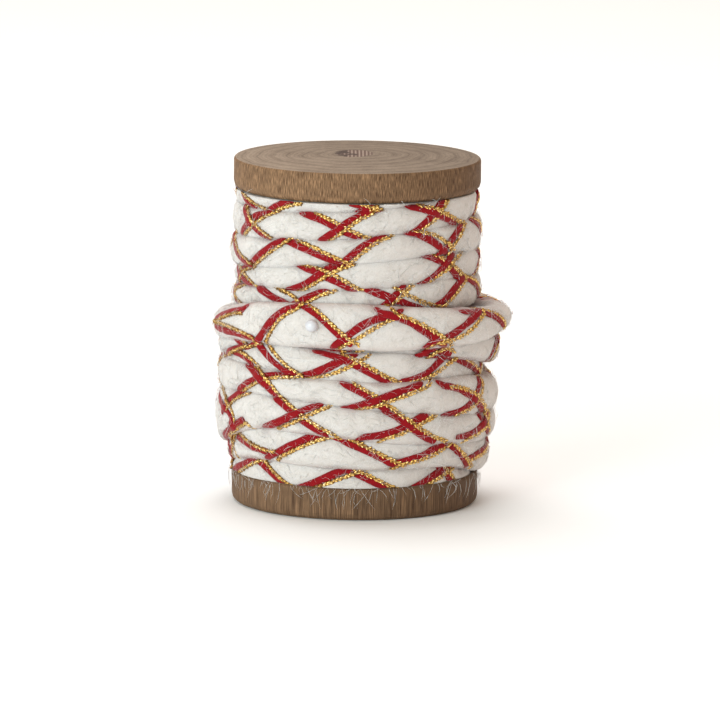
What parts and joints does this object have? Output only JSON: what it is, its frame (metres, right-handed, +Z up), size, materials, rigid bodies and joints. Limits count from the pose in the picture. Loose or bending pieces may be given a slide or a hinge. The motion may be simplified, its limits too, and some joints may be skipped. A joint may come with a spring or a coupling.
{
  "type": "decorative cord on a wooden spool",
  "caption": "Thick white felted wool cord wrapped crosswise with red and gold ribbon, wound on a spool with round wooden ends and held by a pearl-headed pin.",
  "frame": {"origin": "middle of the face that the spool stands on", "axes": "+Z up along the spool's axis, the pin on the -Y side, which is the front"},
  "size_m": [0.0784, 0.075, 0.09],
  "materials": {
    "wood": "unvarnished grey-brown branch wood, sawn faces and planed rims",
    "wool": "loosely felted off-white wool with a fine fuzz",
    "red_ribbon": "matt red ribbon",
    "gold_braid": "shiny gold metallic thread",
    "pearl": "pearl white gloss"
  },
  "bodies": {
    "root": {"top_flange": "wood", "bottom_flange": "wood", "barrel": "wood", "wound_cord": "wool", "pin": "pearl"}
  },
  "joints": []
}
